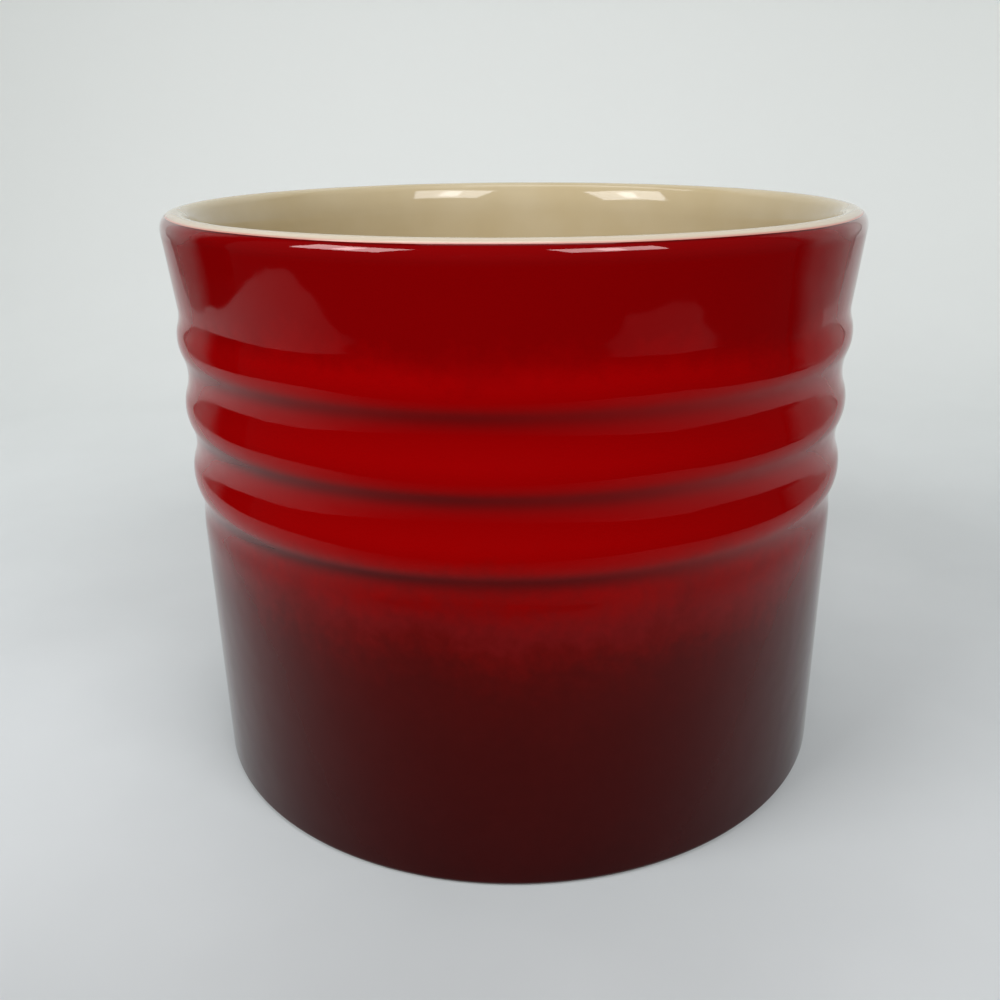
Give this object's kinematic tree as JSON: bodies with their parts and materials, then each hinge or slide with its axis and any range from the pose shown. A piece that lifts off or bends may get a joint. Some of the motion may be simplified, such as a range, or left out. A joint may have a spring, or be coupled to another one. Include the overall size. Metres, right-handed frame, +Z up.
{
  "type": "utensil crock",
  "caption": "Wide straight-sided stoneware utensil crock with a flared rim and raised rings below it, glazed red fading to dark brown outside and cream inside.",
  "frame": {"origin": "middle of the foot ring, on the surface that the crock stands on", "axes": "+Z up through the open mouth, along the axis that the crock is turned about; X and Y are alike"},
  "size_m": [0.1774, 0.1774, 0.1473],
  "materials": {
    "stoneware": "bare fired clay, matt",
    "red_glaze": "gloss, red fading to dark brown",
    "cream_glaze": "gloss",
    "brown_glaze": "gloss"
  },
  "bodies": {
    "root": {"stoneware_body": "stoneware", "outside_glaze": "red_glaze", "inside_glaze": "cream_glaze", "base_glaze": "brown_glaze"}
  },
  "joints": []
}
